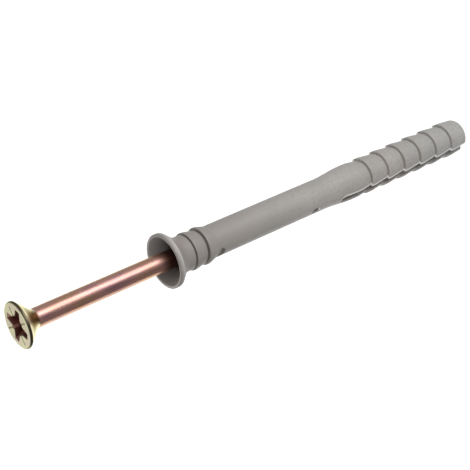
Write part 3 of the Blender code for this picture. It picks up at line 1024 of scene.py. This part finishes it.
def wound_ridge():
    """A tree that sweeps a four-sided ridge along a helix about +Z, faded out at both ends."""
    tree = bpy.data.node_groups.new("rolled thread", "GeometryNodeTree")
    sockets = tree.interface
    inputs = {}
    for name, kind in (
        ("Turns", "Float"),
        ("Length", "Float"),
        ("Radius", "Float"),
        ("Run-out", "Float"),
        ("Steep foot", "Vector"),
        ("Steep crest", "Vector"),
        ("Slope crest", "Vector"),
        ("Slope foot", "Vector"),
        ("Steel", "Material"),
    ):
        inputs[name] = sockets.new_socket(name, in_out="INPUT", socket_type="NodeSocket" + kind)
    sockets.new_socket("Thread", in_out="OUTPUT", socket_type="NodeSocketGeometry")
    given = tree.nodes.new("NodeGroupInput")
    helix = tree.nodes.new("GeometryNodeCurveSpiral")
    upright_normals = tree.nodes.new("GeometryNodeSetCurveNormal")
    ridge = tree.nodes.new("GeometryNodeCurvePrimitiveQuadrilateral")
    way = tree.nodes.new("GeometryNodeSplineParameter")
    fade_in = tree.nodes.new("ShaderNodeMapRange")
    way_back = tree.nodes.new("ShaderNodeMath")
    fade_out = tree.nodes.new("ShaderNodeMapRange")
    fade = tree.nodes.new("ShaderNodeMath")
    faded = tree.nodes.new("GeometryNodeSetCurveRadius")
    swept = tree.nodes.new("GeometryNodeCurveToMesh")
    real = tree.nodes.new("GeometryNodeRealizeInstances")
    finish = tree.nodes.new("GeometryNodeSetMaterial")
    result = tree.nodes.new("NodeGroupOutput")
    helix.inputs["Resolution"].default_value = THREAD_STEPS
    upright_normals.mode = "Z_UP"
    ridge.mode = "POINTS"
    way_back.operation = "SUBTRACT"
    way_back.inputs[0].default_value = 1
    fade.operation = "MINIMUM"
    swept.inputs["Fill Caps"].default_value = True
    link = tree.links.new
    link(given.outputs["Turns"], helix.inputs["Rotations"])
    link(given.outputs["Length"], helix.inputs["Height"])
    link(given.outputs["Radius"], helix.inputs["Start Radius"])
    link(given.outputs["Radius"], helix.inputs["End Radius"])
    corners = ("Steep foot", "Steep crest", "Slope crest", "Slope foot")
    for name, corner in zip(corners, ("Point 1", "Point 2", "Point 3", "Point 4")):
        link(given.outputs[name], ridge.inputs[corner])
    for fading in (fade_in, fade_out):
        link(given.outputs["Run-out"], fading.inputs["From Max"])
    link(way.outputs["Factor"], fade_in.inputs["Value"])
    link(way.outputs["Factor"], way_back.inputs[1])
    link(way_back.outputs["Value"], fade_out.inputs["Value"])
    link(fade_in.outputs["Result"], fade.inputs[0])
    link(fade_out.outputs["Result"], fade.inputs[1])
    link(helix.outputs["Curve"], upright_normals.inputs["Curve"])
    link(upright_normals.outputs["Curve"], faded.inputs["Curve"])
    link(fade.outputs["Value"], faded.inputs["Radius"])
    link(faded.outputs["Curve"], swept.inputs["Curve"])
    link(ridge.outputs["Curve"], swept.inputs["Profile Curve"])
    link(swept.outputs["Mesh"], real.inputs["Geometry"])
    link(real.outputs["Geometry"], finish.inputs["Geometry"])
    link(given.outputs["Steel"], finish.inputs["Material"])
    link(finish.outputs["Geometry"], result.inputs["Thread"])
    return tree, inputs


thread = shown_object("nail_thread", bpy.data.meshes.new("nail_thread"))
tree, inputs = wound_ridge()
wind = thread.modifiers.new("wind", "NODES")
wind.node_group = tree
thread_length = THREAD_END - THREAD_START
sizes = {
    "Turns": thread_length / THREAD_PITCH,
    "Length": thread_length,
    "Radius": THREAD_ROOT_RADIUS,
    "Run-out": THREAD_RUN_OUT_SHARE,
    "Steep foot": (-THREAD_SUNK, THREAD_STEEP_FOOT, 0),
    "Steep crest": (THREAD_HEIGHT, THREAD_CREST[0], 0),
    "Slope crest": (THREAD_HEIGHT, THREAD_CREST[1], 0),
    "Slope foot": (-THREAD_SUNK, THREAD_SLOPE_FOOT, 0),
    "Steel": steel,
}
for name, size in sizes.items():
    wind[inputs[name].identifier] = size
thread.data = plain_mesh(thread)
thread.data.transform(Matrix.Translation((0, 0, THREAD_START)))
for zone, shaded in zip(*numbers_on(thread.data, "plating", "funnel_shade")):
    zone.value = SHANK_ZONE
    shaded.value = SHADE_SHARE

place = upright @ inside_flats @ Matrix.Translation((0, 0, -NAIL_SHOWING))
for piece in (nail, thread):
    finished(piece, place, steel, NAIL_SHARP_ANGLE)
    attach(piece, "nail")
    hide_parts("drive_nail")


# The table and the light
# The fixing lies on a plain white table that glows a little, under one wide softbox over the
# camera's side, in a dim room. In front leans a dark card that only the gloss sees, which gives the
# steel its dark band. Under the fixing a lit strip, unseen itself, brightens its lower side.

TABLE_HALF_SIZE = 1.5
TABLE_CORNERS = ((-1, -1), (1, -1), (1, 1), (-1, 1))
TABLE_WHITE = (0.40, 0.40, 0.40, 1)
TABLE_ROUGHNESS = 0.9
TABLE_SPECULAR = 0.1
TABLE_GLOW = 0.80
ROOM_LIGHT = (0.42, 0.42, 0.42, 1)
ROOM_BACKDROP = (1.0, 1.0, 1.0, 1)
SOFTBOX_PLACE = (0.02, -0.22, 0.48)
SOFTBOX_AIM = (0, 0, 0)
SOFTBOX_WIDTH = 0.70
SOFTBOX_HEIGHT = 0.39
SOFTBOX_POWER = 2.4
SHEET_HALF_LENGTH = 0.20
CARD_NEAR = (-0.0045, 0.0003)
CARD_FAR = (-0.070, 0.042)
CARD_CORNERS = ((-1, CARD_NEAR), (1, CARD_NEAR), (1, CARD_FAR), (-1, CARD_FAR))
CARD_GREY = (0.23, 0.23, 0.23, 1)
STRIP_HEIGHT = 0.00002
STRIP_CORNERS = ((-1, -0.008), (1, -0.008), (1, 0.004), (-1, 0.004))
STRIP_GLOW = 0.85


def studio_sheet(name, finish, corners, looks):
    """A flat sheet for the stage, with the given values on its material's own sockets."""
    mesh = bpy.data.meshes.new(name)
    mesh.from_pydata(corners, [], [(0, 1, 2, 3)])
    sheet = shown_object(name, mesh)
    material = bpy.data.materials.new(finish)
    material.use_nodes = True
    for socket, value in looks.items():
        material.node_tree.nodes["Principled BSDF"].inputs[socket].default_value = value
    mesh.materials.append(material)
    return sheet


table_looks = {
    "Base Color": TABLE_WHITE,
    "Roughness": TABLE_ROUGHNESS,
    "Specular IOR Level": TABLE_SPECULAR,
    "Emission Color": (1, 1, 1, 1),
    "Emission Strength": TABLE_GLOW,
}
corners = [(x * TABLE_HALF_SIZE, y * TABLE_HALF_SIZE, 0) for x, y in TABLE_CORNERS]
table = studio_sheet("table", "white table", corners, table_looks)
table.visible_diffuse = False

world = bpy.data.worlds.new("dim room")
bpy.context.scene.world = world
world.use_nodes = True
nodes = world.node_tree.nodes
link = world.node_tree.links.new
lit = nodes["Background"]
lit.inputs["Color"].default_value = ROOM_LIGHT
seen = nodes.new("ShaderNodeBackground")
seen.inputs["Color"].default_value = ROOM_BACKDROP
choice = nodes.new("ShaderNodeMixShader")
link(nodes.new("ShaderNodeLightPath").outputs["Is Camera Ray"], choice.inputs["Fac"])
link(lit.outputs["Background"], choice.inputs[1])
link(seen.outputs["Background"], choice.inputs[2])
link(choice.outputs["Shader"], nodes["World Output"].inputs["Surface"])

lamp = bpy.data.lights.new("overhead softbox", "AREA")
lamp.shape = "RECTANGLE"
lamp.size = SOFTBOX_WIDTH
lamp.size_y = SOFTBOX_HEIGHT
lamp.energy = SOFTBOX_POWER
softbox = shown_object("overhead softbox", lamp)
softbox.location = SOFTBOX_PLACE
aim = Vector(SOFTBOX_AIM) - Vector(SOFTBOX_PLACE)
softbox.rotation_euler = aim.to_track_quat("-Z", "Y").to_euler()

corners = [(x * SHEET_HALF_LENGTH, y, z) for x, (y, z) in CARD_CORNERS]
card_looks = {"Base Color": CARD_GREY, "Roughness": 1.0, "Specular IOR Level": 0.0}
card = studio_sheet("dark card", "dark card", corners, card_looks)
card.visible_camera = False
card.visible_diffuse = False
card.visible_shadow = False
card.visible_transmission = False

corners = [(x * SHEET_HALF_LENGTH, y, STRIP_HEIGHT) for x, y in STRIP_CORNERS]
strip_looks = {
    "Base Color": (0, 0, 0, 1),
    "Emission Color": (1, 1, 1, 1),
    "Emission Strength": STRIP_GLOW,
}
strip = studio_sheet("lit strip", "lit strip", corners, strip_looks)
strip.visible_camera = False
strip.visible_glossy = False
strip.visible_shadow = False
strip.visible_transmission = False

bpy.context.scene.view_settings.view_transform = "Standard"


# The camera
# It looks down on the fixing from the nail's side, as far off as the photograph was taken: the
# sleeve's rim is placed in the picture, and the camera follows from it.

IMAGE_SIDE = 470
FOCAL_PIXELS = 1184
SENSOR_WIDTH_MM = 36
NEAREST_SEEN = 0.01
RIM_RIGHT_PIXELS = -71.4
RIM_DOWN_PIXELS = 26.9
RIM_DISTANCE = 0.2418
CAMERA_HEADING = math.radians(-39.78)
CAMERA_ELEVATION = math.radians(33.73)

right = Vector((math.cos(CAMERA_HEADING), math.sin(CAMERA_HEADING), 0))
level = Vector((-math.sin(CAMERA_HEADING), math.cos(CAMERA_HEADING), 0))
forward = level * math.cos(CAMERA_ELEVATION) - Vector((0, 0, math.sin(CAMERA_ELEVATION)))
up = right.cross(forward)
lens = bpy.data.cameras.new("camera")
lens.sensor_width = SENSOR_WIDTH_MM
lens.lens = FOCAL_PIXELS / IMAGE_SIDE * lens.sensor_width
lens.clip_start = NEAREST_SEEN
camera = shown_object("camera", lens)
rim = upright.translation
per_pixel = RIM_DISTANCE / FOCAL_PIXELS
offset = right * RIM_RIGHT_PIXELS * per_pixel - up * RIM_DOWN_PIXELS * per_pixel
camera.location = rim - offset - forward * RIM_DISTANCE
camera.rotation_euler = Matrix((right, up, -forward)).transposed().to_euler()
bpy.context.scene.camera = camera
